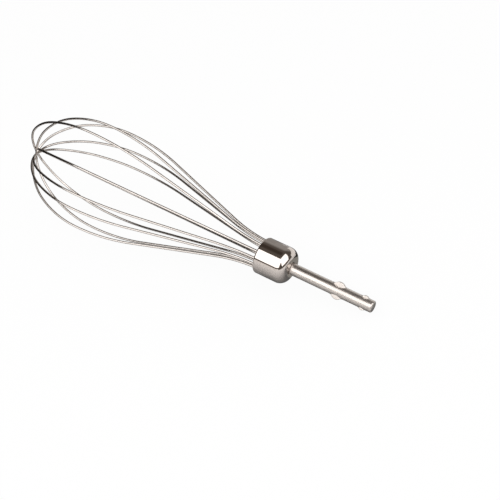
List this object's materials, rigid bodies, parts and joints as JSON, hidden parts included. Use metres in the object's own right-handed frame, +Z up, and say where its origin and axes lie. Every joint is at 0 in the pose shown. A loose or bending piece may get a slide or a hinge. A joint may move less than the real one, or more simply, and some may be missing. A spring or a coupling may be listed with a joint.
{
  "type": "mixer whisk",
  "caption": "Balloon whisk for a hand mixer: stacked spring wire loops held in a polished ferrule on a round drive shaft with pressed ears.",
  "frame": {"origin": "on the table, under the middle of the whisk's box as it lies at rest", "axes": "+X along the whisk towards the end of its drive shaft, +Z up from the table"},
  "size_m": [0.2104, 0.0586, 0.0618],
  "materials": {
    "shaft_steel": "ground and polished stainless bar",
    "ferrule_steel": "mirror polished stainless sheet",
    "hub_plastic": "moulded, matt",
    "spring_wire": "bright drawn stainless spring wire"
  },
  "bodies": {
    "root": {"drive_shaft": "shaft_steel", "ferrule": "ferrule_steel", "wire_hub": "hub_plastic", "wire_loop_1": "spring_wire", "wire_loop_2": "spring_wire", "wire_loop_3": "spring_wire", "wire_loop_4": "spring_wire", "wire_loop_5": "spring_wire", "wire_loop_6": "spring_wire"}
  },
  "joints": []
}
